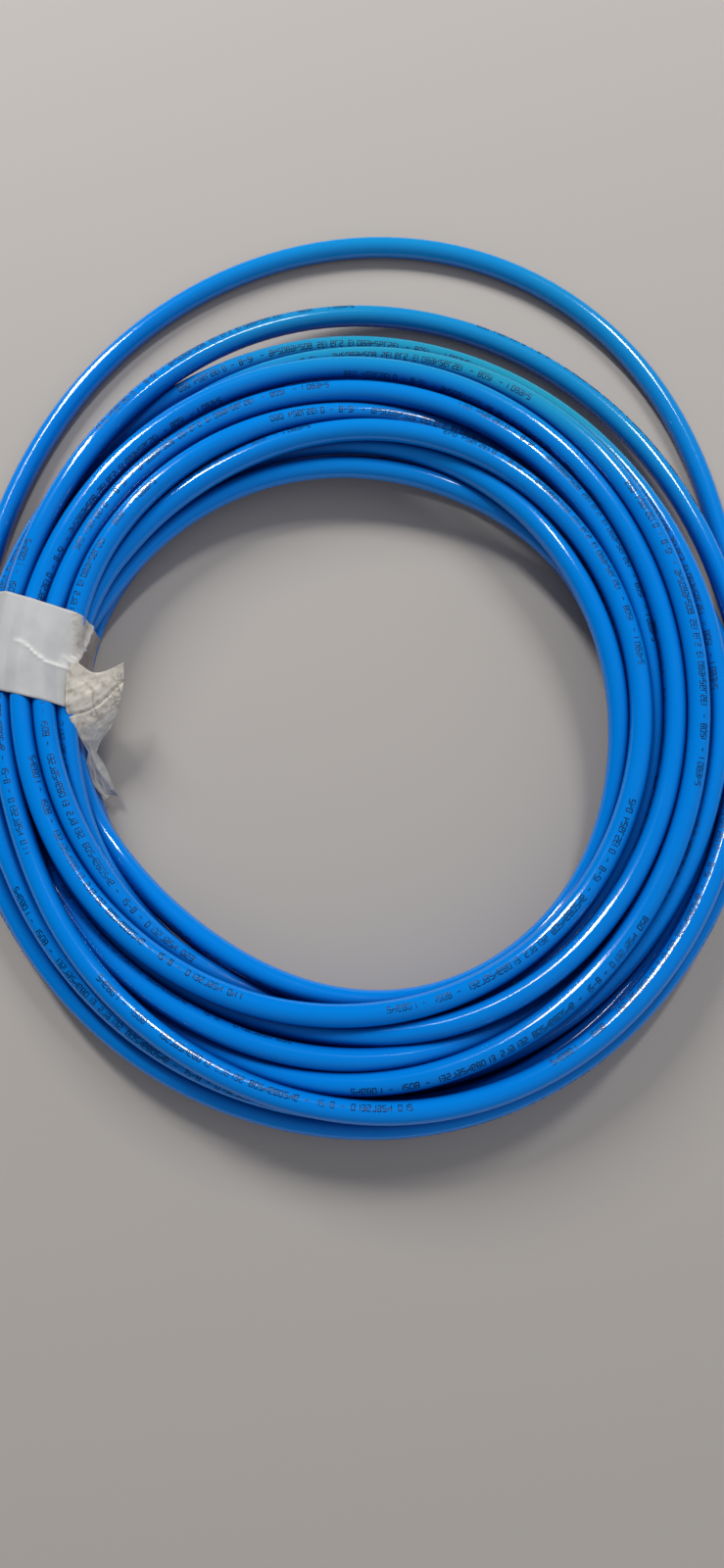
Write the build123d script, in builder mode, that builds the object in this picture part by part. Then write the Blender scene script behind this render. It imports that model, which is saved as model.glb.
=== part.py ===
from build123d import *
import os
from math import cos, radians, sin, sqrt

# A flat coil of polyurethane tube, held by one band of paper tape. Millimetres, +Z up.
# The coil's axis is Z and the coil lies on Z = 0. The tape is near the -X side, and two
# loose outer turns bulge out of the bundle towards +Y.

# The tube
tube_diameter = 12.0

# The wound bundle: rows of turns laid in each other's grooves, from the floor up
bore_radius = 145.0
turns_in_row = [6, 5, 6, 5]
groove_depth = 4.0

# The two loose outer turns. Each is a round turn of its own radius that has slid out of
# its row of the bundle by a distance, towards an angle.
outer_loose_radius = 205.0
outer_loose_slide = 91.0
outer_loose_angle = 85.0
outer_loose_row = 0
inner_loose_radius = 197.0
inner_loose_slide = 49.0
inner_loose_angle = 80.0
inner_loose_row = 1
loose_turn_lift = 0.6

# The band of paper tape
tape_width = 50.0
tape_thickness = 0.5
tape_proud = 0.2
tape_corner_radius = 6.0
tape_angle = 170.0

# Values worked out from the sizes above
tube_radius = tube_diameter / 2
row_rise = tube_diameter * sqrt(3) / 2
widest_row = max(turns_in_row)
outer_radius = bore_radius + widest_row * tube_diameter
coil_height = tube_diameter + (len(turns_in_row) - 1) * row_rise


def row_height(row):
    """Height of a row's tube centres over the floor."""
    return tube_radius + row * row_rise


def turn_centres(row):
    """Section centres of one row's turns, from the bore outwards."""
    turns = turns_in_row[row]
    first = bore_radius + tube_radius + (widest_row - turns) * tube_radius
    return [(first + turn * tube_diameter, row_height(row)) for turn in range(turns)]


rows = [turn_centres(row) for row in range(len(turns_in_row))]

# The outline through the outermost centres: the bottom row, up the outside, back along
# the top row, and down the bore side
outline = rows[0] + [row[-1] for row in rows[1:]] + rows[-1][-2::-1] + [row[0] for row in rows[-2:0:-1]]


def loose_turn_half_angle(radius, slide, row):
    """Half of the angle that a loose turn's arc sweeps about its own centre. The arc ends on
    the second turn of its row, counted from the outside, so its ends lie inside the bundle."""
    landing = rows[row][-2][0]
    along = (landing**2 - radius**2 - slide**2) / (2 * slide)
    return Vector(0, 1).get_angle(Vector(sqrt(radius**2 - along**2), along))


def loose_turn(radius, slide, angle, row):
    """One loose outer turn: a tube carried along the arc that shows outside the bundle."""
    half_angle = loose_turn_half_angle(radius, slide, row)
    centre = (slide * cos(radians(angle)), slide * sin(radians(angle)))
    with BuildPart() as turn:
        with BuildLine(Plane.XY.offset(row_height(row) + loose_turn_lift)) as path:
            CenterArc(centre, radius, angle - half_angle, 2 * half_angle)
        with BuildSketch(Plane(path.line @ 0, z_dir=path.line % 0)):
            Circle(tube_radius)
        sweep()
    return turn.part


outer_loose_turn = loose_turn(
    outer_loose_radius, outer_loose_slide, outer_loose_angle, outer_loose_row
)
inner_loose_turn = loose_turn(
    inner_loose_radius, inner_loose_slide, inner_loose_angle, inner_loose_row
)

# The tape's section round the bundle, outside and inside. Its underside is on the floor.
tape_bore_side = bore_radius - tape_proud
tape_outer_side = outer_radius + tape_proud
tape_top = coil_height + tape_proud
tape_section_width = tape_outer_side - tape_bore_side
tape_section_centre = ((tape_bore_side + tape_outer_side) / 2, tape_top / 2)
seat_reach = 2 * tube_diameter

with BuildSketch() as tape_inside:
    with Locations(tape_section_centre):
        RectangleRounded(
            tape_section_width - 2 * tape_thickness,
            tape_top - 2 * tape_thickness,
            tape_corner_radius - tape_thickness,
        )

# The straight strip across the bundle that the tape covers, as wide as the tape
strip_length = outer_radius + seat_reach
with BuildSketch(Plane.XY.rotated((0, 0, tape_angle))) as tape_strip:
    with Locations((strip_length / 2, 0)):
        Rectangle(strip_length, tape_width)

# The band: a loop of tape round the bundle, curved with the coil and cut to its width
with BuildPart() as tape_band:
    with BuildSketch(Plane.XZ):
        with Locations(tape_section_centre):
            RectangleRounded(tape_section_width, tape_top, tape_corner_radius)
        add(tape_inside.sketch, mode=Mode.SUBTRACT)
    revolve(axis=Axis.Z)
    extrude(tape_strip.sketch, amount=strip_length, both=True, mode=Mode.INTERSECT)

# The seat: all that lies outside the tape's inside face, where the tape presses the turns flat
with BuildPart() as tape_seat:
    with BuildSketch(Plane.XZ):
        with Locations(tape_section_centre):
            Rectangle(tape_section_width + 2 * seat_reach, tape_top + 2 * seat_reach)
        add(tape_inside.sketch, mode=Mode.SUBTRACT)
    revolve(axis=Axis.Z)
    extrude(tape_strip.sketch, amount=strip_length, both=True, mode=Mode.INTERSECT)

# The tubing: one turned solid whose turns show as ridges on its ends and its sides, with
# the two loose turns that come out of it
with BuildPart() as tubing_coil:
    with BuildSketch(Plane.XZ):
        with BuildLine():
            Polyline(*outline, close=True)
        make_face()
        offset(amount=tube_radius - groove_depth, kind=Kind.INTERSECTION, mode=Mode.REPLACE)
        for row in rows:
            with Locations(*row):
                Circle(tube_radius)
    revolve(axis=Axis.Z)
    add(outer_loose_turn)
    add(inner_loose_turn)
    add(tape_seat.part, mode=Mode.SUBTRACT)

tubing_coil.part.label = "tubing_coil"
tape_band.part.label = "tape_band"
os.makedirs("parts", exist_ok=True)
export_step(tubing_coil.part, "parts/tubing_coil.step")
export_step(tape_band.part, "parts/tape_band.step")
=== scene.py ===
import math

import bpy
import numpy as np
from bpy.props import FloatProperty, FloatVectorProperty, IntProperty, PointerProperty
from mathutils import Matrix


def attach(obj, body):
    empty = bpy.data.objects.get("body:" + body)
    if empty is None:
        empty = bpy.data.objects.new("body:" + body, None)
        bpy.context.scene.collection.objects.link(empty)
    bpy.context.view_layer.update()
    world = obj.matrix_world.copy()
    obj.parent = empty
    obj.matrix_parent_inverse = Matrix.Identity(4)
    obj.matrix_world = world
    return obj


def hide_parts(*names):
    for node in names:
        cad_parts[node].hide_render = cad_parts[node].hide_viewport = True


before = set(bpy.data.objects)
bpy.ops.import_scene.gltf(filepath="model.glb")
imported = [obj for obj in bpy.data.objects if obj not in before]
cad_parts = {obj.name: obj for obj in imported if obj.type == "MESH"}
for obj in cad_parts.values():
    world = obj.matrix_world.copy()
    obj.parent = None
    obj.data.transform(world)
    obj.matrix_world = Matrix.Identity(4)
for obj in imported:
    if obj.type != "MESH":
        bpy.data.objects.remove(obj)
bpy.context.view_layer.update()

bl_info = {
    "name": "Polyurethane tubing coil",
    "version": (1, 0, 0),
    "blender": (4, 5, 0),
    "location": "3D View > Sidebar > Tubing coil",
    "description": "Builds a bound coil of polyurethane tube and its stage",
    "category": "Add Mesh",
}

MM = 0.001

# The course of each turn, from the tube's outer end inwards. A turn runs from 180 degrees,
# under the tape, right round to 540. Each of its points is an angle in degrees, a radius
# and a height in millimetres. "shown" are the stretches that lie open to the eye and keep
# to their radius, "held" those that also keep to their height. Between them a turn takes
# the place that its neighbours leave it.
COURSES = [
    # 1, the outer loose turn
    dict(shown=[(380, 520)], held=[(185, 350)], points=[
        (180, 207, 6), (205, 207, 6), (225, 210.5, 6), (245, 213, 6), (265, 217, 6), (285, 220, 6),
        (300, 220.5, 6), (320, 217, 6), (350, 214.5, 6), (384, 230, 6), (394, 248, 6), (405, 266, 6),
        (415, 281.5, 6), (425, 293, 6), (435, 299.5, 6), (440, 300.5, 6), (450, 298.5, 6),
        (460, 290.5, 6), (470, 281.5, 6), (480, 269, 6), (490, 255.5, 6), (501, 241.5, 6),
        (511, 229, 8), (520, 219, 11)]),
    # 2, round the foot of the coil and out as the inner loose turn
    dict(shown=[(200, 520)], held=[], points=[
        (180, 207, 15), (209, 207, 18), (228, 209.5, 18), (238, 212, 18), (247, 213, 18),
        (256, 214.5, 18), (265, 216.5, 18), (275, 218.5, 18), (284, 220, 18), (303, 220.5, 18),
        (317, 218, 18), (332, 216, 17), (350, 215.5, 17), (378, 217, 17), (389, 224, 17),
        (399, 230, 14), (409, 237, 11), (420, 244, 9), (430, 248, 8), (440, 250, 8), (450, 250, 9),
        (460, 244, 13), (470, 233, 20), (481, 217, 30), (491, 207.5, 36), (502, 200, 38),
        (513, 193, 38), (520, 189.5, 38)]),
    # 3, across the top of the foot, then down the outside
    dict(shown=[(180, 335)], held=[], points=[
        (180, 183, 37), (185, 182, 37), (205, 181, 37), (224, 190, 37), (238, 194, 37), (247, 197, 37),
        (256, 201.5, 37), (265, 205.5, 37), (275, 209.5, 37), (284, 212, 37), (293, 213.5, 37),
        (302, 213, 37), (316, 211, 36), (331, 208.5, 34), (350, 208, 28), (360, 209, 24),
        (380, 209, 17), (405, 208, 9), (450, 207, 6), (495, 202, 6)]),
    # 4, up from below and along the outer edge of the head
    dict(shown=[(275, 471), (503, 520)], held=[], points=[
        (180, 196, 17), (205, 196, 17), (225, 197, 17), (250, 196, 20), (270, 195.5, 22),
        (288, 197, 26.5), (297, 195.5, 28), (308, 195, 31), (325, 194, 34), (340, 192.5, 36),
        (355, 195, 37), (376, 198, 37), (387, 198.5, 36), (398, 202.5, 33), (408, 208, 30),
        (419, 213.5, 27), (440, 220.5, 23), (455, 222, 22.5), (465, 219, 21), (471, 217, 20),
        (490, 210, 20), (505, 205.5, 24), (513, 202.5, 27), (520, 199, 27)]),
    # 5, second from the outside at the foot
    dict(shown=[(195, 222), (270, 346)], held=[], points=[
        (180, 194, 27), (204, 191, 27), (226, 194, 27), (247, 199, 26), (270, 206, 26.5),
        (288, 209.5, 27), (297, 210, 27), (307, 208.5, 27), (316, 206.5, 27), (326, 205, 27),
        (336, 203.5, 27), (346, 202.5, 26), (360, 203, 25), (376, 204, 23), (405, 210, 14),
        (430, 214, 10), (450, 216, 9), (475, 213, 9), (495, 208, 11), (515, 202, 14)]),
    # 6, up at the foot and over the head
    dict(shown=[(258, 471)], held=[], points=[
        (180, 185, 17), (205, 185, 17), (225, 184, 21), (245, 188, 29), (258, 192.5, 33),
        (268, 195.5, 37), (283, 193.5, 37), (297, 191, 37), (315, 187.5, 37), (335, 184.5, 37),
        (355, 184, 37), (376, 187.5, 37), (398, 195.5, 36.5), (408, 200.5, 35), (419, 205, 33),
        (429, 208.5, 32), (450, 211.5, 30), (471, 207.5, 29.5), (490, 198, 27), (510, 188, 27)]),
    # 7, on top at the foot only
    dict(shown=[(240, 336)], held=[(225, 300)], points=[
        (180, 183, 26), (205, 180, 25.5), (225, 178, 31), (243, 179.5, 36), (252, 181.5, 37),
        (261, 183.5, 37), (270, 184.5, 37), (283, 186, 31), (297, 185.5, 27), (316, 184.5, 26.5),
        (336, 184, 26), (360, 182, 26), (405, 190, 25), (450, 199, 25), (495, 188, 25)]),
    # 8, up at the foot and over the head
    dict(shown=[(268, 521)], held=[(200, 268)], points=[
        (180, 172.5, 27), (205, 169.5, 26), (225, 171, 25), (255, 169.5, 25.5), (270, 169.5, 27),
        (279, 172, 30), (288, 174.5, 34), (297, 174, 36.5), (315, 172.5, 37), (335, 171, 37),
        (355, 172, 37), (376, 176, 37), (397, 183.5, 37), (408, 188, 37), (418, 192, 37),
        (429, 196.5, 37), (450, 200, 37), (471, 197, 37), (481, 195, 37), (492, 189.5, 37),
        (503, 184.5, 37), (513, 179, 37), (521, 176, 37)]),
    # 9, on top all the way round
    dict(shown=[(180, 505)], held=[], points=[
        (180, 169, 37), (185, 168, 37), (195, 166.5, 37), (205, 166, 37), (225, 165, 37),
        (239, 164.5, 37), (252, 165, 37), (270, 163.5, 37), (288, 162, 37), (315, 158, 37),
        (334, 154.5, 37), (354, 154, 37), (375, 154.5, 37), (386, 155.5, 37), (397, 157, 37),
        (407, 158.5, 37), (418, 160, 37), (439, 161, 37), (450, 160.5, 37), (461, 158, 37),
        (471, 155.5, 37), (482, 152.5, 37), (493, 150, 36), (504, 148.5, 34), (522, 148.5, 29)]),
    # 10, along the edge of the bore
    dict(shown=[(206, 435)], held=[], points=[
        (180, 148.5, 22), (206, 149, 17), (216, 147, 20), (225, 145.5, 23), (235, 145.5, 26),
        (243, 147, 28), (252, 149, 29.5), (261, 152.5, 29.5), (270, 155.5, 28.5), (279, 157.5, 26.5),
        (288, 160, 25.5), (297, 158.5, 25), (315, 156, 25), (330, 152, 25.5), (340, 148.5, 27),
        (350, 145, 31), (365, 143, 35), (385, 142, 36.5), (405, 145.5, 34.5), (418, 151, 30.5),
        (435, 156, 28), (450, 159.5, 26.5), (470, 160, 25.5), (500, 160, 26)]),
    # 11, up on the right and over the head
    dict(shown=[(300, 521)], held=[(215, 300)], points=[
        (180, 161.5, 26.5), (205, 161, 20), (225, 168, 16.5), (250, 170, 16.5), (270, 173, 17),
        (285, 170, 21), (297, 167, 26), (306, 166.5, 27.5), (325, 164, 28.5), (340, 163, 29),
        (355, 163, 30), (365, 163.5, 30), (375, 165.5, 31), (386, 168, 33), (397, 171, 35),
        (408, 174.5, 36.5), (418, 178, 37), (429, 181.5, 37), (450, 185, 37), (471, 182.5, 37),
        (482, 179, 37), (492, 175.5, 37), (503, 171.5, 37), (514, 166, 37), (521, 162.5, 37)]),
    # 12, on top under the tape's lower edge
    dict(shown=[(180, 222)], held=[(222, 330)], points=[
        (180, 157.5, 37), (185, 156.5, 37), (205, 155.5, 36.5), (215, 157.5, 34), (225, 160.5, 29),
        (240, 160.5, 25), (255, 161, 19), (270, 163, 16.5), (300, 166, 16.5), (320, 163, 16.5),
        (345, 156, 17), (360, 152, 17), (405, 152, 16), (450, 157, 15), (495, 164, 15)]),
    # 13, up at the head, beside the bore
    dict(shown=[(428, 522)], held=[(225, 330)], points=[
        (180, 173, 16), (225, 180, 16.5), (250, 181, 18), (262, 181, 24), (270, 181.5, 26.5),
        (283, 180, 20), (297, 178, 16.5), (320, 176, 16.5), (345, 174, 20), (360, 173, 24),
        (405, 176, 26), (429, 173.5, 30), (440, 174, 32.5), (450, 173, 34.5), (461, 170.5, 36),
        (471, 168, 36.5), (482, 164.5, 36.5), (493, 160.5, 36.5), (503, 157, 36), (522, 152, 34)]),
    # 14, a glimpse beside the tape
    dict(shown=[(200, 240)], held=[(240, 340)], points=[
        (180, 150.5, 30), (205, 152.5, 26), (215, 154.5, 21), (225, 156, 17), (240, 157, 15),
        (256, 162, 8), (270, 169, 6), (300, 172, 6), (320, 169, 6), (345, 161, 6), (360, 158, 6),
        (405, 153, 6), (450, 153, 6), (475, 156, 6), (505, 157.5, 6), (525, 155, 6)]),
    # 15, on the floor at the foot, and up in the bore's wall at the head
    dict(shown=[(400, 520)], held=[(200, 340)], points=[
        (180, 153, 6), (195, 151, 6), (225, 150, 6), (245, 151, 6), (270, 157, 6), (300, 160, 6),
        (320, 157, 6), (345, 150, 9), (360, 146, 14), (396, 144.5, 22), (418, 144, 27), (450, 145, 27),
        (471, 147, 26), (493, 149, 23), (520, 150.5, 18)]),
    # 16 to 18, buried in the row on the floor
    dict(shown=[], held=[(200, 340)], points=[
        (180, 160, 9), (205, 162, 6), (225, 162, 6), (240, 166, 6), (256, 175, 6), (270, 181, 6),
        (300, 184, 6), (320, 181, 6), (360, 170, 6), (405, 165, 6), (450, 163, 6), (495, 163, 6)]),
    dict(shown=[], held=[(200, 340)], points=[
        (180, 175, 6), (225, 174, 6), (240, 178, 6), (256, 187, 6), (270, 193, 6), (300, 196, 6),
        (320, 192, 6), (360, 182, 6), (450, 175, 6), (495, 173, 6)]),
    dict(shown=[], held=[(200, 340)], points=[
        (180, 187, 6), (225, 186, 6), (240, 190, 6), (256, 199, 6), (270, 205, 6), (300, 208, 6),
        (320, 204, 6), (360, 194, 6), (450, 190, 6), (495, 186, 6)]),
]

# How far in and out the buried turns may lie: an angle in degrees and a radius in millimetres
BORE_SIDE = [(180, 146), (195, 144), (225, 142), (250, 144), (290, 153), (320, 150), (360, 141),
             (405, 144), (450, 149.5), (480, 151), (520, 150), (540, 146)]
OUTER_SIDE = [(180, 217), (225, 219), (270, 222), (300, 226), (330, 222), (360, 219), (405, 222),
              (450, 229), (490, 220), (520, 212), (540, 217)]
SLICES = 90
LOOSE_TURNS = 2

# The share of the way back to its course, in radius and height, that a point goes in one round:
# where its turn is shown, where it is held, and anywhere
SHOWN_PULL = [0.25, 0.03]
HELD_PULL = [0.15, 0.15]
COURSE_PULL = [0.004, 0.002]
# How far gravity draws a point down in one round, in millimetres, first and in the last rounds
FIRST_DROP = 0.12
LAST_DROP = 0.03
FIRST_ROUNDS = 0.85
# The pushes in one round, and the share of the way back that one takes a point that is too high
# or a buried one that is too far in or out
PUSHES = 3
CEILING_PUSH = 0.3
SIDE_PUSH = 0.5
# The share of a bend that stiffness evens out in one round, first and in the closing rounds
EVENED = 0.5
CLOSING_EVENED = 0.4
CLOSING_ROUNDS = 60
# Cuts of the low-pass, in radians for each point: for the courses, for the shares of the kinds
# of stretches, and for the bends, first and in the closing rounds
COURSE_CUT = 0.45
SHARE_CUT = 0.6
BEND_CUT = 0.4
CLOSING_CUT = 0.55


def linear(hex_colour):
    """An sRGB hex colour as linear red, green, blue and 1."""
    parts = [int(hex_colour[i:i + 2], 16) / 255 for i in (1, 3, 5)]
    return [p / 12.92 if p <= 0.04045 else ((p + 0.055) / 1.055) ** 2.4 for p in parts] + [1.0]


def add_node(material, kind, links=None, **settings):
    """Adds one shader node. A setting that is a socket's name goes to the socket, any other to the
    node, and links maps a socket's name or number to the output that feeds it."""
    tree = material.node_tree
    made = tree.nodes.new(kind)
    for name, value in settings.items():
        if hasattr(made, name):
            setattr(made, name, value)
        else:
            made.inputs[name.replace("_", " ")].default_value = value
    for name, output in (links or {}).items():
        tree.links.new(output, made.inputs[name])
    return made


def new_material(name):
    """An empty node material, named for a real finish."""
    material = bpy.data.materials.new(name)
    material.use_nodes = True
    material.node_tree.nodes.clear()
    return material


def smoothed(line, cut):
    """A low-pass of points along a line: each wave is weakened by 1 / (1 + (its frequency / cut)^4).
    The line is first carried on past both ends by its own mirror image."""
    extra = 200
    whole = np.concatenate([2 * line[0] - line[extra:0:-1], line, 2 * line[-1] - line[-2:-extra - 2:-1]])
    ramp = np.linspace(whole[0], whole[-1], len(whole))
    waves = np.fft.rfft(whole - ramp, axis=0)
    frequency = 2 * np.pi * np.arange(len(waves)) / len(whole)
    waves /= (1 + (frequency / cut) ** 4)[:, None]
    return (np.fft.irfft(waves, len(whole), axis=0) + ramp)[extra:extra + len(line)]


def wound_line(diameter, ceiling, rounds):
    """The line of the wound tube as angle in degrees, radius and height in millimetres. It starts on
    the turns' courses and settles in rounds: gravity draws each point down, its course draws it
    back, tubes that overlap in a slice through the coil push each other apart, and the tube's own
    stiffness evens out its bends away from the course."""
    turns = len(COURSES)
    angle = 180 + 360 / SLICES * np.arange(turns * SLICES + 1)
    points = np.array([(a + 360 * turn, r, z) for turn, course in enumerate(COURSES)
                       for a, r, z in course["points"]])
    course = np.stack([np.interp(angle, points[:, 0], points[:, column]) for column in (1, 2)], 1)
    course = smoothed(course, COURSE_CUT)

    def share(kind):
        """Where the turns run in stretches of a kind, as 0 or 1 and with soft ends."""
        spans = [(a + 360 * turn, b + 360 * turn) for turn, c in enumerate(COURSES) for a, b in c[kind]]
        inside = sum(((angle >= a) & (angle <= b)).astype(float) for a, b in spans)
        return inside, smoothed(inside[:, None], SHARE_CUT).clip(0, 1)

    shown, shown_share = share("shown")
    held_share = share("held")[1]
    pull = shown_share * SHOWN_PULL + held_share * HELD_PULL + COURSE_PULL
    slice_of = np.arange(turns * SLICES) % SLICES
    inner = np.interp(angle[:SLICES], *zip(*BORE_SIDE))[slice_of] + diameter / 2
    outer = np.interp(angle[:SLICES], *zip(*OUTER_SIDE))[slice_of] - diameter / 2
    buried = shown[:-1] < 0.5
    buried[:LOOSE_TURNS * SLICES] = False
    itself = np.eye(turns, dtype=bool)[None]

    def pushed_apart(line):
        """Moves overlapping circles of a slice apart, each by half their overlap over the root of how
        many overlap it, and pushes points back under the top and between the sides."""
        for _ in range(PUSHES):
            place = line[:-1].reshape(turns, SLICES, 2).transpose(1, 0, 2)
            apart = place[:, :, None] - place[:, None]
            distance = np.sqrt((apart ** 2).sum(-1)) + 1e-9
            overlap = np.where(itself, 0, (diameter - distance).clip(0))
            push = (apart / distance[..., None] * overlap[..., None] / 2).sum(2)
            place = place + push / np.sqrt((overlap > 0).sum(2).clip(1))[..., None]
            line[:-1] = place.transpose(1, 0, 2).reshape(-1, 2)
            line[-1] = 2 * line[-2] - line[-3]
            line[:, 1] = line[:, 1].clip(diameter / 2)
            line[:, 1] -= CEILING_PUSH * (line[:, 1] - ceiling).clip(0)
            radius = line[:-1, 0]
            radius += SIDE_PUSH * buried * ((inner - radius).clip(0) - (radius - outer).clip(0))
        return line

    line = course.copy()
    for n in range(rounds):
        line[:, 1] -= FIRST_DROP if n < FIRST_ROUNDS * rounds else LAST_DROP
        line = pushed_apart(line + (course - line) * pull)
        bends = line - course
        line = course + (1 - EVENED) * bends + EVENED * smoothed(bends, BEND_CUT)
    for _ in range(CLOSING_ROUNDS):
        bends = pushed_apart(line) - course
        line = course + (1 - CLOSING_EVENED) * bends + CLOSING_EVENED * smoothed(bends, CLOSING_CUT)
    line[:, 1] = line[:, 1].clip(diameter / 2)
    return angle, line[:, 0], line[:, 1]


def followed(control):
    """The points of the NURBS spline through which the tube runs, read as Blender gives them."""
    curve = bpy.data.curves.new("tube_route", "CURVE")
    curve.dimensions = "3D"
    spline = curve.splines.new("NURBS")
    spline.points.add(len(control) - 1)
    spline.points.foreach_set("co", np.c_[control, np.ones(len(control))].ravel())
    spline.order_u = 3
    spline.use_endpoint_u = True
    curve.resolution_u = 2
    holder = bpy.data.objects.new("tube_route", curve)
    bpy.context.scene.collection.objects.link(holder)
    bpy.context.view_layer.update()
    mesh = bpy.data.meshes.new_from_object(holder)
    points = np.zeros(len(mesh.vertices) * 3)
    mesh.vertices.foreach_get("co", points)
    bpy.data.objects.remove(holder)
    bpy.data.curves.remove(curve)
    bpy.data.meshes.remove(mesh)
    return points.reshape(-1, 3)


def frames_along(path):
    """The sideways and the upward direction across a path at each point: its own direction crossed
    with straight up, and that one crossed with its own direction."""
    ahead = np.gradient(path, axis=0)
    ahead /= np.linalg.norm(ahead, axis=1)[:, None]
    side = np.cross(ahead, [0, 0, 1.0])
    side /= np.linalg.norm(side, axis=1)[:, None]
    return side, np.cross(side, ahead)


def grid_faces(rows, columns, closed):
    """Quads of a grid of points, row by row, whose columns close on themselves or not."""
    quads_across = columns if closed else columns - 1
    row, column = np.meshgrid(np.arange(rows - 1), np.arange(quads_across), indexing="ij")
    beside = (column + 1) % columns
    return np.stack([row * columns + column, row * columns + beside,
                     (row + 1) * columns + beside, (row + 1) * columns + column], -1).reshape(-1, 4)


def new_piece(name, points, faces, uv=None, smooth=True):
    """A mesh object at the origin from arrays of points and faces, with one UV pair for each point."""
    mesh = bpy.data.meshes.new(name)
    mesh.from_pydata(points.tolist(), [], faces if isinstance(faces, list) else faces.tolist())
    if uv is not None:
        corner = np.zeros(len(mesh.loops), np.int32)
        mesh.loops.foreach_get("vertex_index", corner)
        mesh.uv_layers.new(name="UVMap").data.foreach_set("uv", uv[corner].astype(np.float32).ravel())
    mesh.polygons.foreach_set("use_smooth", np.full(len(mesh.polygons), smooth))
    mesh.update()
    piece = bpy.data.objects.new(name, mesh)
    bpy.context.scene.collection.objects.link(piece)
    return piece


ROUTE = {}


def tube_path(tube):
    """The tube's centreline in metres, worked out once."""
    if "path" not in ROUTE:
        rounds = tube.settling_rounds
        angle, radius, height = wound_line(tube.diameter / MM, tube.top_centre / MM, rounds)
        ROUTE["line"] = angle, radius, height
        turn = np.radians(angle)
        ROUTE["path"] = followed(np.stack([radius * np.cos(turn), radius * np.sin(turn), height], 1) * MM)
    return ROUTE["path"]


def ramp(material, kind, value, low, high, bottom=0.0, top=1.0):
    """Turns a value between low and high into one between bottom and top, held at both ends."""
    return add_node(material, "ShaderNodeMapRange", {0: value}, interpolation_type=kind, From_Min=low,
                    From_Max=high, To_Min=bottom, To_Max=top).outputs[0]


def blended(material, first, second, share):
    """A mix of two colours, each an output or a list of four numbers, by a share between 0 and 1."""
    mix = add_node(material, "ShaderNodeMix", data_type="RGBA")
    for number, colour in ((6, first), (7, second)):
        if isinstance(colour, bpy.types.NodeSocket):
            material.node_tree.links.new(colour, mix.inputs[number])
        else:
            mix.inputs[number].default_value = colour
    material.node_tree.links.new(share, mix.inputs[0])
    return mix.outputs[2]


def per_metre(size):
    """How often a pattern repeats in a metre if its features are this many millimetres across."""
    return 1 / (size * MM)


def arithmetic(material, operation, first, second=None):
    """One sum on one or two values, each an output or a number."""
    sum_node = add_node(material, "ShaderNodeMath", operation=operation)
    for number, value in enumerate((first, second)):
        if isinstance(value, bpy.types.NodeSocket):
            material.node_tree.links.new(value, sum_node.inputs[number])
        elif value is not None:
            sum_node.inputs[number].default_value = value
    return sum_node.outputs[0]


def tube_material(colours):
    """Extruded polyurethane tube: smooth, glossy and saturated blue."""
    m = new_material("extruded_polyurethane")
    place = add_node(m, "ShaderNodeTexCoord").outputs["Object"]
    axes = add_node(m, "ShaderNodeSeparateXYZ", {0: place})
    east, north, up = axes.outputs[0], axes.outputs[1], axes.outputs[2]
    # A turquoise tint mixed into a crescent on the far side of the coil, strongest on the turns at its edge
    # and on the upper turns
    reach = arithmetic(m, "SQRT", arithmetic(m, "ADD", arithmetic(m, "MULTIPLY", east, east),
                                             arithmetic(m, "MULTIPLY", north, north)))
    bearing = arithmetic(m, "ARCTAN2", arithmetic(m, "MULTIPLY", east, -1.0), north)
    off_centre = arithmetic(m, "ABSOLUTE", arithmetic(m, "ADD", bearing, math.radians(18)))
    cloud = add_node(m, "ShaderNodeTexNoise", {"Vector": place}, Scale=per_metre(111), Detail=2.0).outputs[0]
    far_side_share = ramp(m, "SMOOTHSTEP", off_centre, math.radians(12), math.radians(52), 1, 0)
    at_edge = ramp(m, "SMOOTHSTEP", reach, 188 * MM, 214 * MM, 0.12, 1)
    crescent = arithmetic(m, "MULTIPLY", far_side_share, at_edge)
    teal_share = arithmetic(m, "MULTIPLY", crescent, ramp(m, "LINEAR", cloud, 0.3, 0.7, 0.7, 1))
    teal_share = arithmetic(m, "MULTIPLY", teal_share, ramp(m, "SMOOTHSTEP", up, 8 * MM, 26 * MM, 0.35, 1))
    colour = blended(m, list(colours.tube), list(colours.teal_tint_tube), teal_share)
    # Painted shade: the tube's colour turns a deeper blue in the grooves between the turns, where ambient
    # occlusion finds them
    groove_occlusion = add_node(m, "ShaderNodeAmbientOcclusion", samples=8, Distance=25 * MM).outputs["AO"]
    colour = blended(m, list(colours.painted_groove_shade), colour, ramp(m, "SMOOTHSTEP", groove_occlusion, 0.2, 0.95))
    # Faint lengthwise streaks from the die, 60 round the tube at 0.6 mm and 250 mm long, and rubbed
    # spots that take the shine off
    along = add_node(m, "ShaderNodeTexCoord").outputs["UV"]
    drawn_out = add_node(m, "ShaderNodeMapping", {"Vector": along},
                         Scale=(per_metre(250), 60.0, 1.0)).outputs[0]
    streaks = add_node(m, "ShaderNodeTexNoise", {"Vector": drawn_out}, Scale=1.0, Detail=1.0).outputs[0]
    rubbed = add_node(m, "ShaderNodeTexNoise", {"Vector": place}, Scale=per_metre(33), Detail=2.0).outputs[0]
    dullness = arithmetic(m, "ADD", ramp(m, "LINEAR", rubbed, 0.5, 0.8, 0.0, 0.05),
                          ramp(m, "LINEAR", streaks, 0.3, 0.7, 0.09, 0.11))
    skin = add_node(m, "ShaderNodeBsdfPrincipled", {"Base Color": colour, "Roughness": dullness}, IOR=1.5,
                    Specular_IOR_Level=0.5)
    add_node(m, "ShaderNodeOutputMaterial", {"Surface": skin.outputs[0]})
    return m


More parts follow.
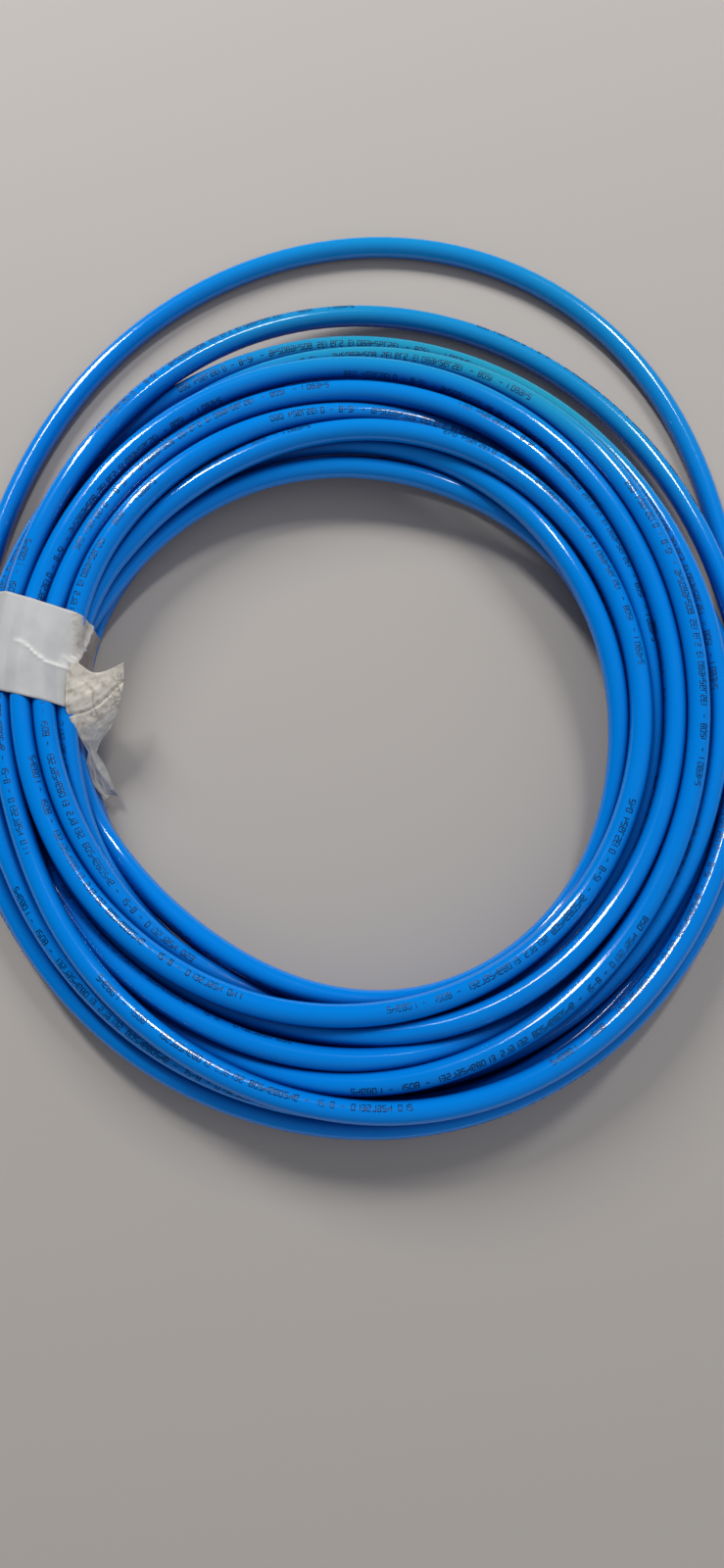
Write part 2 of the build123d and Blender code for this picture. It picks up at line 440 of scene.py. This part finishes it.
def ink_material(colours):
    """Black marking ink, thin and rubbed away in specks so that the blue shows through."""
    m = new_material("marking_ink")
    place = add_node(m, "ShaderNodeTexCoord").outputs["Object"]
    specks = add_node(m, "ShaderNodeTexNoise", {"Vector": place}, Scale=per_metre(1.1), Detail=2.0).outputs[0]
    patches = add_node(m, "ShaderNodeTexNoise", {"Vector": place}, Scale=per_metre(28.6),
                       Detail=1.0).outputs[0]
    worn = ramp(m, "LINEAR", arithmetic(m, "ADD", specks, patches), 1.0, 1.35, 0.0, 0.5)
    colour = blended(m, list(colours.ink), list(colours.tube), worn)
    ink = add_node(m, "ShaderNodeBsdfPrincipled", {"Base Color": colour}, Roughness=0.35,
                   Specular_IOR_Level=0.4)
    add_node(m, "ShaderNodeOutputMaterial", {"Surface": ink.outputs[0]})
    return m


# The colours of the tape's soil, its crumpled coat and the film under it, and the white of its torn lip and
# of the painted highlight on its crease
GREY_SOIL = "#9DA0A1"
CREAM_COAT = "#D2CBBD"
BROWN_FIBRE = "#8F8372"
CRACK = "#6A5A40"
BROWN_SPOT = "#8A7A3A"
GREY_FILM = "#958C84"
PALE_FILM = "#B3ABA2"
LIP_COAT_AND_CREASE_HIGHLIGHT = "#F6F3EC"


def tape_material(colours):
    """White coated tape: matt and smooth, with the coat stained cream where it is crumpled, flaked
    off the grey film near the bore, white with a painted highlight along its crease, and clean white on its
    torn lip, partly a painted highlight. The mesh says where, in its wear_and_highlight attribute: red for
    crumpled, green for bare film, blue for the crease or the torn lip."""
    m = new_material("coated_tape")
    place = add_node(m, "ShaderNodeTexCoord").outputs["Object"]
    wear_and_highlight = add_node(m, "ShaderNodeAttribute", attribute_name="wear_and_highlight").outputs[0]
    wear_and_highlight = add_node(m, "ShaderNodeSeparateColor", {0: wear_and_highlight}).outputs
    fibres = add_node(m, "ShaderNodeTexNoise", {"Vector": place}, Scale=per_metre(3.85),
                      Detail=4.0).outputs[0]
    grime = add_node(m, "ShaderNodeTexNoise", {"Vector": place}, Scale=per_metre(22.2), Detail=3.0).outputs[0]
    white = blended(m, list(colours.tape), linear(GREY_SOIL), ramp(m, "LINEAR", grime, 0.45, 0.8, 0, 0.6))
    cream = blended(m, linear(CREAM_COAT), linear(BROWN_FIBRE), ramp(m, "LINEAR", fibres, 0.5, 0.75, 0, 0.8))
    # Wandering cracks, as the edges of cells whose places are stirred by noise, and brown spots
    stirred = add_node(m, "ShaderNodeTexNoise", {"Vector": place}, Scale=per_metre(8.33),
                       Detail=3.0).outputs[1]
    stirred = add_node(m, "ShaderNodeVectorMath", {0: stirred}, operation="SCALE", Scale=20 * MM).outputs[0]
    stirred = add_node(m, "ShaderNodeVectorMath", {0: place, 1: stirred}, operation="ADD").outputs[0]
    cells = add_node(m, "ShaderNodeTexVoronoi", {"Vector": stirred}, feature="DISTANCE_TO_EDGE",
                     Scale=per_metre(11.1)).outputs[0]
    cracks = arithmetic(m, "MULTIPLY", ramp(m, "LINEAR", cells, 0.0, 0.07, 0.6, 0),
                        ramp(m, "LINEAR", grime, 0.5, 0.6, 0, 1))
    cream = blended(m, cream, linear(CRACK), cracks)
    cream = blended(m, cream, linear(BROWN_SPOT), ramp(m, "LINEAR", grime, 0.64, 0.7, 0, 0.6))
    film = blended(m, linear(GREY_FILM), linear(PALE_FILM), ramp(m, "LINEAR", grime, 0.4, 0.65, 0, 1))
    colour = blended(m, blended(m, white, cream, wear_and_highlight[0]), film, wear_and_highlight[1])
    # Painted highlight: the crease is made clean white, and the torn lip, a real clean edge of the coat,
    # takes the same white, partly as a painted highlight
    colour = blended(m, colour, linear(LIP_COAT_AND_CREASE_HIGHLIGHT), wear_and_highlight[2])
    grain = add_node(m, "ShaderNodeBump", {"Height": fibres}, Strength=0.25, Distance=0.3 * MM).outputs[0]
    paper = add_node(m, "ShaderNodeBsdfPrincipled", {"Base Color": colour, "Normal": grain}, Roughness=0.5)
    add_node(m, "ShaderNodeOutputMaterial", {"Surface": paper.outputs[0]})
    return m


class TubeSettings(bpy.types.PropertyGroup):
    diameter: FloatProperty(
        name="Tube diameter", description="Outside diameter of the tube", default=12 * MM, unit="LENGTH")
    bore: FloatProperty(
        name="Tube bore", description="Inside diameter of the tube", default=8 * MM, unit="LENGTH")
    length: FloatProperty(
        name="Tube length", description="Length of tube in the coil", default=20.8, unit="LENGTH")
    top_centre: FloatProperty(
        name="Top turns", description="Greatest height of a turn's centre",
        default=40.5 * MM, unit="LENGTH")
    sides: IntProperty(
        name="Sides", description="Facets round the tube", default=24, min=8)
    settling_rounds: IntProperty(
        name="Settling rounds", description="Rounds in which the turns settle on each other",
        default=900, min=50)


class TapeSettings(bpy.types.PropertyGroup):
    thickness: FloatProperty(
        name="Tape thickness", description="Thickness of the tape", default=0.2 * MM, unit="LENGTH")
    upper_edge: FloatProperty(
        name="Upper edge", description="Angle of the tape's upper edge round the coil",
        default=math.radians(161.6), unit="ROTATION")
    lower_edge: FloatProperty(
        name="Lower edge", description="Angle of the tape's lower edge on top of the coil",
        default=math.radians(180.4), unit="ROTATION")
    tooth: FloatProperty(
        name="Tooth pitch", description="Distance between the teeth of the cut edges",
        default=0.9 * MM, unit="LENGTH")


class PrintSettings(bpy.types.PropertyGroup):
    height: FloatProperty(
        name="Digit height", description="Height of the printed digits", default=3.4 * MM, unit="LENGTH")
    pitch: FloatProperty(
        name="Digit pitch", description="Distance from one digit to the next",
        default=2.6 * MM, unit="LENGTH")
    repeat: FloatProperty(
        name="Repeat", description="Length of tube after which the marking starts again",
        default=0.25, unit="LENGTH")


class ColourSettings(bpy.types.PropertyGroup):
    tube: FloatVectorProperty(
        name="Tube", description="Colour of the tube", subtype="COLOR", size=4,
        default=linear("#0084E4"))
    # Painted shade: the tube's colour deep in the grooves between turns
    painted_groove_shade: FloatVectorProperty(
        name="Tube in the grooves", description="Colour of the tube deep between turns",
        subtype="COLOR", size=4, default=linear("#003C98"))
    # Turquoise tint for a crescent on the far side of the coil and its upper turns
    teal_tint_tube: FloatVectorProperty(
        name="Faded tube", description="Colour of the tube where light has bleached it",
        subtype="COLOR", size=4, default=linear("#2AA0B0"))
    ink: FloatVectorProperty(
        name="Ink", description="Colour of the printed marking", subtype="COLOR", size=4,
        default=linear("#04102A"))
    tape: FloatVectorProperty(
        name="Tape", description="Colour of the tape's coat", subtype="COLOR", size=4,
        default=linear("#C0C1C0"))


class COIL_OT_tubing(bpy.types.Operator):
    """Builds the wound tube, with its open bore at both ends"""
    bl_idname = "coil.tubing"
    bl_label = "Tubing"

    def execute(self, context):
        tube = context.scene.coil_tube
        path = tube_path(tube)
        side, up = frames_along(path)
        turn = 2 * np.pi * np.arange(tube.sides) / tube.sides
        ring = np.stack([np.sin(turn), np.cos(turn)], 1)
        travelled = np.r_[0, np.cumsum(np.linalg.norm(np.diff(path, axis=0), axis=1))]
        last = len(path) - 1
        # Ring by ring: into the bore at one end, out over the cut face, along, and in again
        rings = np.r_[2, 0, np.arange(last + 1), last, last - 2]
        size = np.r_[tube.bore, tube.bore, np.full(last + 1, tube.diameter), tube.bore, tube.bore] / 2
        across = side[rings][:, None] * ring[None, :, :1] + up[rings][:, None] * ring[None, :, 1:]
        points = (path[rings][:, None] + across * size[:, None, None]).reshape(-1, 3)
        faces = grid_faces(len(rings), tube.sides, True)
        ends = [list(range(tube.sides)), list(range(len(points) - 1, len(points) - tube.sides - 1, -1))]
        uv = np.stack([np.repeat(travelled[rings], tube.sides), np.tile(turn / (2 * np.pi), len(rings))], 1)
        piece = new_piece("tubing", points, faces.tolist() + ends, uv)
        piece.data.materials.append(tube_material(context.scene.coil_colours))
        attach(piece, "root")
        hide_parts("tubing_coil")
        return {"FINISHED"}


# The strokes of a digit: top, upper right, lower right, foot, lower left, upper left, middle
SEGMENTS = {
    "0": "012345", "1": "12", "2": "01643", "3": "01623", "4": "5612", "5": "05623", "6": "054326",
    "7": "012", "8": "0123456", "9": "650123", "-": "6", " ": "",
}
# The middle of each stroke in digit heights, along the row and up from its middle line, and
# whether it stands upright
STROKES = {
    "0": (0, 0.46, 0), "1": (0.27, 0.23, 1), "2": (0.27, -0.23, 1), "3": (0, -0.46, 0),
    "4": (-0.27, -0.23, 1), "5": (-0.27, 0.23, 1), "6": (0, 0, 0),
}
# Half of an upright stroke's length, of a level one's and of their width, in digit heights, and
# how much the digits are narrowed
UPRIGHT_HALF = 0.22
LEVEL_HALF = 0.27
WIDTH_HALF = 0.065
NARROWED = 0.9
MARKING = "246801 - 1208 - 135792468013 579135 8024680246 - 12-8 - 01357924 "
FIRST_MARK = 50 * MM
INK_THICKNESS = 0.04 * MM


def printed_strokes(text):
    """The strokes of a row of seven-stroke digits as an array of (row position, along, up, upright
    or not), the middle two in digit heights."""
    return np.array([(n, *STROKES[k]) for n, c in enumerate(text) for k in SEGMENTS[c]], float)


class COIL_OT_marking(bpy.types.Operator):
    """Prints rows of plain digits along the tube"""
    bl_idname = "coil.marking"
    bl_label = "Marking"

    def execute(self, context):
        tube, marks = context.scene.coil_tube, context.scene.coil_print
        height, pitch = marks.height, marks.pitch
        path = tube_path(tube)
        side, up = frames_along(path)
        travelled = np.r_[0, np.cumsum(np.linalg.norm(np.diff(path, axis=0), axis=1))]
        starts = np.arange(FIRST_MARK, travelled[-1] - marks.repeat, marks.repeat)
        rows = [printed_strokes(MARKING + f"{n:03d}") for n in range(len(starts))]
        strokes = np.concatenate([
            np.c_[start + row[:, 0] * pitch, row[:, 1:]] for start, row in zip(starts, rows)])
        start, along, across, upright = strokes.T
        # Each stroke is a strip of three cross lines, the ends and the middle of its length
        long_half = np.where(upright > 0, UPRIGHT_HALF, LEVEL_HALF) * height
        thin_half = WIDTH_HALF * height
        step = np.array([-1, -1, 0, 0, 1, 1])
        sway = np.array([-1, 1, -1, 1, -1, 1])
        up_half = upright[:, None] > 0
        x = along[:, None] * height * NARROWED
        x = x + np.where(up_half, sway * thin_half, step * long_half[:, None])
        y = across[:, None] * height + np.where(up_half, step * long_half[:, None], sway * thin_half)
        s = (start[:, None] + x).ravel()
        # The print line wanders slowly round the tube, mostly near its upper side: two sine waves,
        # in radians round the tube over metres of its length
        lean = 1.3 * np.sin(s / 0.83) + 0.6 * np.sin(s / 2.3 + 1)
        turn = lean + y.ravel() / (tube.diameter / 2)
        at = [np.stack([np.interp(s, travelled, v[:, k]) for k in range(3)], 1) for v in (path, side, up)]
        out = at[1] * np.sin(turn)[:, None] + at[2] * np.cos(turn)[:, None]
        points = at[0] + out * (tube.diameter / 2 + INK_THICKNESS)
        base = 6 * np.arange(len(strokes))[:, None, None]
        corners = np.array([[0, 1, 3, 2], [2, 3, 5, 4]])[None]
        faces = (base + corners).reshape(-1, 4)
        # Uprights run across the tube, so their corners turn the other way
        flip = np.repeat(upright > 0, 2)
        faces[flip] = faces[flip][:, ::-1]
        piece = new_piece("print_marks", points, faces)
        piece.data.materials.append(ink_material(context.scene.coil_colours))
        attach(piece, "root")
        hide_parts("tubing_coil")
        return {"FINISHED"}


def wrapped(angles, columns, clearance):
    """The closed line of a band pulled tight round the turns, at each angle: the outline of their
    circles and of the straight pieces between them, as radius and height, with the height over the
    nearest tube. Columns are equal steps along the line, from the outer end of its underside."""
    angle, radius, height = ROUTE["line"]
    turns = len(COURSES)
    # It starts a little past straight down, where two turns on the floor can't share the start
    look = np.linspace(-np.pi / 2, 1.5 * np.pi, 1441) + 0.1
    away = np.stack([np.cos(look), np.sin(look)])
    size = bpy.context.scene.coil_tube.diameter / 2 + clearance
    lines = []
    for a in angles:
        at = a + 360 * np.arange(1, turns + 1)
        centres = np.stack([np.interp(at, angle, radius), np.interp(at, angle, height)], 1) * MM
        touched = centres[(centres @ away).argmax(0)]
        line = touched + size * away.T
        travelled = np.r_[0, np.cumsum(np.linalg.norm(np.diff(line, axis=0), axis=1))]
        steps = np.linspace(0, travelled[-1], columns, endpoint=False)
        line = np.stack([np.interp(steps, travelled, line[:, k]) for k in (0, 1)], 1)
        gap = np.linalg.norm(line[:, None] - centres[None], axis=2).min(1) - size
        outward = np.stack([np.interp(steps, travelled, away[k]) for k in (0, 1)], 1)
        lines.append(np.c_[line, gap, outward])
    return np.array(lines)


def crumple(x, y, seed, waves=9, coarse=60.0, fine=420.0):
    """Folds of thin sheet as heights from -1 to 1: the sum of ridged waves, 1 - 2 |sin|, of random
    direction, pitch and phase, the finer ones the lower. A second sine makes each ridge wander."""
    rng = np.random.default_rng(seed)
    pitch = np.geomspace(coarse, fine, waves)
    total = np.zeros(np.shape(x))
    for k in range(waves):
        heading, phase = rng.uniform(0, np.pi), rng.uniform(0, 6)
        beside = x * np.sin(heading * 3 + 1) + y * np.cos(heading * 3)
        wander = 1.2 * np.sin(beside * pitch[k] * 0.6 + phase)
        ahead = x * np.cos(heading) + y * np.sin(heading)
        ridge = np.abs(np.sin(ahead * pitch[k] + phase + wander))
        total += (1 - 2 * ridge) * (coarse / pitch[k])
    return total / (coarse / pitch).sum()


def sheet_of(front, thickness):
    """A closed sheet from the grid of points on its front: the same grid set back by the thickness
    along the surface's own normal, and the edges joined. Returns points and faces."""
    across = np.gradient(front, axis=0)
    along = np.gradient(front, axis=1)
    normal = np.cross(across, along)
    normal /= np.linalg.norm(normal, axis=2)[..., None] + 1e-12
    back = front - normal * thickness
    rows, columns = front.shape[:2]
    faces = grid_faces(rows, columns, False)
    size = rows * columns
    rim = np.r_[np.arange(columns), columns * np.arange(1, rows) + columns - 1,
                size - 2 - np.arange(columns - 1), columns * np.arange(rows - 2, 0, -1)]
    beside = np.roll(rim, -1)
    edges = np.stack([rim, beside, beside + size, rim + size], 1)
    points = np.concatenate([front.reshape(-1, 3), back.reshape(-1, 3)])
    return points, np.concatenate([faces[:, ::-1], faces + size, edges])


# The torn end of the tape that hangs in the bore. From the top of the coil down to the tip, the
# left edge, the middle and the right edge: x, y and z in millimetres
TORN_END = [
    [(-147.5, 24, 42.8), (-141, 19.5, 39.5), (-135.5, 16.5, 36)],
    [(-149.5, 15, 43.3), (-138.5, 14, 38.5), (-121, 23.5, 38.5)],
    [(-150, 7, 43.4), (-137, 7, 37.5), (-121.5, 14, 35.5)],
    [(-150, 0, 43.2), (-137, -1, 35.5), (-123, 5, 32.5)],
    [(-149.2, -5.5, 41), (-138, -6.5, 33.5), (-125.5, -3.5, 29.5)],
    [(-146.5, -11.5, 36), (-138, -12, 30.5), (-129, -10.5, 27)],
    [(-143.5, -18, 29.5), (-138.5, -17.5, 27), (-134.5, -16.5, 24.5)],
    [(-141, -22.5, 24.5), (-139, -22.5, 24), (-137, -22, 23)],
    [(-143, -29, 20), (-138.5, -28.5, 19.5), (-133.5, -28, 18.5)],
    [(-141.5, -35.5, 16), (-136.5, -35, 15.5), (-131, -34.5, 14.5)],
    [(-138, -41.5, 12), (-133.5, -41, 11.5), (-129, -40.5, 11)],
    [(-134, -46.5, 8.5), (-131.5, -43.2, 8.7), (-127.5, -43.5, 8)],
]
# On top of the tape, a raised crease as x and y in millimetres, and in the bore the torn lip of
# its coat as y and z
CREASE = [(-181, 35.2), (-170.6, 30.2), (-166.7, 25.9), (-159.7, 21), (-147.6, 18.3)]
LIP = [(20, 42), (27, 38), (33.5, 31.5), (40, 29), (46, 28)]


# Where the top of the coil turns down into the bore, as a radius
BORE_EDGE = 157 * MM
# The tape's edges come nearer each other towards the outside: by 2.3 degrees for 30 mm of radius
SLANT_START = 155 * MM
SLANT_DEGREES = 2.3
SLANT_RADIUS = 30 * MM
TAPE_CLEARANCE = 0.03 * MM
GREATEST_DENT = 0.8 * MM
GREATEST_LIFT = 1.6 * MM


def tape_band(tape):
    """The tape round the turns, as the points and faces of a sheet, with how worn each point is and where its
    painted highlight lies. Row by row from edge to edge, it is the tight line round the turns at each point's
    own angle, and each point is then lifted straight out of it by its sag, crease, lip and folds."""
    rows, columns = ((40, 512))
    share = np.linspace(0, 1, rows)
    top, low = math.degrees(tape.upper_edge), math.degrees(tape.lower_edge)
    angles = np.linspace(top, low + 1.5, 50)
    lines = wrapped(angles, columns + 1, TAPE_CLEARANCE + tape.thickness)
    lines[:, -1] = lines[:, 0]
    column = np.arange(columns + 1)

    def line_at(angle):
        """The tight line's values in each column at an angle between those worked out."""
        place = (angle - angles[0]) / (angles[1] - angles[0])
        before = place.astype(int).clip(0, len(angles) - 2)
        part = (place - before)[..., None]
        return lines[before, column] * (1 - part) + lines[before + 1, column] * part

    # The lower edge runs at a slant. Its angle depends on its radius, so both are found in rounds
    angle = top + (low - top) * share[:, None] + 0.0 * column
    for _ in range(3):
        slant = (line_at(angle)[..., 0] - SLANT_START) / SLANT_RADIUS * SLANT_DEGREES
        angle = top + (low - top - slant) * share[:, None]
    here = line_at(angle)
    radius, height, gap, outward = here[..., 0], here[..., 1], here[..., 2], here[..., 3:]
    # Cut teeth
    reach = np.linalg.norm(np.diff(here[0, :, :2], axis=0), axis=1).sum()
    tooth = np.abs((column / columns * round(reach / tape.tooth)) % 1 - 0.5) - 0.25
    at_edges = np.abs(2 * share - 1) ** 12 * np.sign(2 * share - 1)
    angle = angle + np.degrees(1.2 * tape.tooth * tooth / radius) * at_edges[:, None]
    turn = np.radians(angle)
    x, y = radius * np.cos(turn), radius * np.sin(turn)
    on_top = np.clip((height - 36 * MM) / (6 * MM), 0, 1)
    # It sags a little between two turns, puckers near the bore, and has one long raised crease
    crease_x, crease_y = np.array(CREASE).T * MM
    crease = np.exp(-((y - np.interp(x, crease_x, crease_y)) / (0.7 * MM)) ** 2) * on_top
    crease *= np.clip((x - crease_x[0]) / (8 * MM), 0, 1) * np.clip((crease_x[-1] - x) / (3 * MM), 0, 1)
    # Down in the bore its coat ends in a ragged lip
    lip_y, lip_z = np.array(LIP).T * MM
    ragged = MM * (np.sin(y * 2600) + np.sin(y * 1100))
    past_lip = np.interp(y, lip_y, lip_z) - height + ragged
    beside = np.clip((y - lip_y[0]) / MM, 0, 1) * np.clip((BORE_EDGE - radius) / (2 * MM), 0, 1)
    lip = np.exp(-(past_lip / (2.6 * MM)) ** 2) * beside
    near_bore = np.clip((BORE_EDGE - radius) / (12 * MM), 0, 1)
    lift = -0.12 * gap + (0.7 * crease + 1.4 * lip) * MM + 0.12 * MM * crumple(x, y, 8, coarse=40)
    lift += 0.5 * MM * near_bore * crumple(x, y + height, 5)
    lift = lift.clip(-GREATEST_DENT, GREATEST_LIFT)
    radius = radius + outward[..., 0] * lift
    height = (height + outward[..., 1] * lift).clip(0.0)
    band = np.stack([radius * np.cos(turn), radius * np.sin(turn), height], 2)
    # Past the lip the coat has flaked off the film. Nearer the bore than its soft edge it is stained
    flaked = np.clip(past_lip / (1.5 * MM), 0, 1) * beside
    stained = 0.5 * np.clip((x + 149.5 * MM) / (2 * MM), 0, 1) + 0.3 * near_bore
    # Blue marks where the painted highlight goes: the crease, and the torn lip, whose clean white is partly
    # real
    wear_and_highlight = np.stack([stained, flaked, crease + lip], 2).reshape(-1, 3)
    return *sheet_of(band, tape.thickness), np.concatenate([wear_and_highlight, wear_and_highlight])


def torn_end(tape):
    """The tape's torn end, as the points and faces of a sheet and how worn each point is: parabolas
    through the left edge, the middle and the right edge of each row, with folds and one sharp
    crease added to them."""
    rows, columns = ((120, 60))
    frames = np.array(TORN_END) * MM
    at = np.linspace(0, len(frames) - 1, rows)
    left, middle, right = [
        np.stack([np.interp(at, range(len(frames)), frames[:, edge, k]) for k in range(3)], 1)[:, None]
        for edge in range(3)]
    t = np.linspace(0, 1, columns)[None, :, None]
    flap = left * (1 - t) * (1 - 2 * t) + middle * 4 * t * (1 - t) + right * t * (2 * t - 1)
    s, v = np.meshgrid(np.linspace(0, 20 * MM, columns), np.linspace(0, 80 * MM, rows))
    free = np.clip(v / (8 * MM), 0, 1)
    flap[..., 2] += 1.2 * MM * crumple(s, v, 21, coarse=160, fine=1100) * free
    flap[..., 0] += 0.5 * MM * crumple(s, v, 4, coarse=200, fine=1300) * free
    # One sharp fold runs across it, from low on the left to high on the right
    flap[..., 2] -= 1.3 * MM * np.exp(-((v - 30 * MM + 0.8 * s) / (0.9 * MM)) ** 2) * free
    # The coat still holds on the upper part and thins out towards the tail
    coated = np.clip((46 * MM - v - 0.9 * s) / (8 * MM), 0, 1)
    wear_and_highlight = np.stack([0.35 + 0.65 * coated, 0.3 - 0.3 * coated, 0 * v], 2).reshape(-1, 3)
    return *sheet_of(flap, tape.thickness), np.concatenate([wear_and_highlight, wear_and_highlight])


class COIL_OT_tape(bpy.types.Operator):
    """Wraps the tape round the turns, with its torn end in the bore"""
    bl_idname = "coil.tape"
    bl_label = "Tape"

    def execute(self, context):
        tape = context.scene.coil_tape
        tube_path(context.scene.coil_tube)
        points, faces, wear_and_highlight = tape_band(tape)
        more_points, more_faces, more_wear_and_highlight = torn_end(tape)
        faces = np.concatenate([faces, more_faces + len(points)])
        wear_and_highlight = np.concatenate([wear_and_highlight, more_wear_and_highlight])
        piece = new_piece("tape", np.concatenate([points, more_points]), faces)
        layer = piece.data.attributes.new("wear_and_highlight", "FLOAT_COLOR", "POINT")
        layer.data.foreach_set("color", np.c_[wear_and_highlight, np.ones(len(wear_and_highlight))].ravel())
        piece.data.materials.append(tape_material(context.scene.coil_colours))
        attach(piece, "root")
        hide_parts("tape_band")
        return {"FINISHED"}


def world_light(world):
    """The room's own light: pale, stronger from the near right than from the far left, and dimmer
    in the tube's gloss than on its colour."""
    kind = add_node(world, "ShaderNodeLightPath")
    heading = add_node(world, "ShaderNodeTexCoord").outputs["Generated"]
    side = add_node(world, "ShaderNodeVectorMath", {0: heading}, operation="DOT_PRODUCT")
    side.inputs[1].default_value = (0.8, -0.6, 0.0)
    strength = ramp(world, "SMOOTHSTEP", side.outputs["Value"], -0.9, 0.9, 0.05, 0.62)
    gloss = ramp(world, "LINEAR", kind.outputs["Is Glossy Ray"], 0, 1, 1, 0.12)
    strength = arithmetic(world, "MULTIPLY", strength, gloss)
    light = add_node(world, "ShaderNodeBackground", {"Strength": strength}, Color=linear("#F4F6FF"))
    add_node(world, "ShaderNodeOutputWorld", {"Surface": light.outputs[0]})


FLOOR_REACH = 8
# The two long lamps: name, x, y and height in metres, heading in degrees, length and width in
# metres, power in watts
LAMPS = [
    ("long_lamp", -1.75, 2.83, 2.4, 40, 3.0, 0.36, 145),
    ("short_lamp", 0.95, 1.97, 2.4, -35, 1.3, 0.25, 40),
]
# The camera: its lens in the photograph's own pixels, its place in metres and its tilt in degrees
FOCAL_PIXELS = 1202
PHOTO_HEIGHT_PIXELS = 1600
SENSOR_MM = 36
CAMERA_PLACE = (0.006, -0.171, 0.640)
CAMERA_TILT = 12


class COIL_OT_stage(bpy.types.Operator):
    """Builds the floor, the lamps and the camera"""
    bl_idname = "coil.stage"
    bl_label = "Stage"

    def execute(self, context):
        scene = context.scene
        corners = FLOOR_REACH * np.array([(-1, -1, 0), (1, -1, 0), (1, 1, 0), (-1, 1, 0)], float)
        floor = new_piece("floor", corners, np.array([[0, 1, 2, 3]]), smooth=False)
        m = new_material("pale_floor")
        paint = add_node(m, "ShaderNodeBsdfPrincipled", Base_Color=linear("#B4AEA7"), Roughness=0.7)
        add_node(m, "ShaderNodeOutputMaterial", {"Surface": paint.outputs[0]})
        floor.data.materials.append(m)
        world = scene.world or bpy.data.worlds.new("studio")
        scene.world = world
        world.use_nodes = True
        world.node_tree.nodes.clear()
        world_light(world)
        for name, x, y, height, heading, length, width, power in LAMPS:
            light = bpy.data.lights.new(name, "AREA")
            light.shape = "RECTANGLE"
            light.size, light.size_y = width, length
            light.energy = power
            lamp = bpy.data.objects.new(name, light)
            lamp.location = (x, y, height)
            lamp.rotation_euler = (0, 0, math.radians(heading))
            scene.collection.objects.link(lamp)
        lens = bpy.data.cameras.new("photo_camera")
        camera = bpy.data.objects.new("photo_camera", lens)
        lens.lens = SENSOR_MM * FOCAL_PIXELS / PHOTO_HEIGHT_PIXELS
        camera.location = CAMERA_PLACE
        camera.rotation_euler = (math.radians(CAMERA_TILT), 0, 0)
        scene.collection.objects.link(camera)
        scene.camera = camera
        scene.view_settings.view_transform = "Standard"
        return {"FINISHED"}


class COIL_PT_panel(bpy.types.Panel):
    """Sizes, colours and build steps of the coil"""
    bl_idname = "COIL_PT_panel"
    bl_label = "Tubing coil"
    bl_space_type = "VIEW_3D"
    bl_region_type = "UI"
    bl_category = "Tubing coil"

    def draw(self, context):
        scene = context.scene
        for group in (scene.coil_tube, scene.coil_tape, scene.coil_print, scene.coil_colours):
            for name in group.__annotations__:
                self.layout.prop(group, name)
        for operator in OPERATORS:
            self.layout.operator(operator.bl_idname)


OPERATORS = (COIL_OT_tubing, COIL_OT_marking, COIL_OT_tape, COIL_OT_stage)
SETTINGS = (TubeSettings, TapeSettings, PrintSettings, ColourSettings)


def register():
    for cls in SETTINGS + OPERATORS + (COIL_PT_panel,):
        bpy.utils.register_class(cls)
    bpy.types.Scene.coil_tube = PointerProperty(type=TubeSettings)
    bpy.types.Scene.coil_tape = PointerProperty(type=TapeSettings)
    bpy.types.Scene.coil_print = PointerProperty(type=PrintSettings)
    bpy.types.Scene.coil_colours = PointerProperty(type=ColourSettings)


def unregister():
    del bpy.types.Scene.coil_colours
    del bpy.types.Scene.coil_print
    del bpy.types.Scene.coil_tape
    del bpy.types.Scene.coil_tube
    for cls in reversed(SETTINGS + OPERATORS + (COIL_PT_panel,)):
        bpy.utils.unregister_class(cls)


def main():
    register()
    bpy.ops.coil.tubing()
    bpy.ops.coil.marking()
    bpy.ops.coil.tape()
    bpy.ops.coil.stage()


if __name__ == "__main__":
    main()
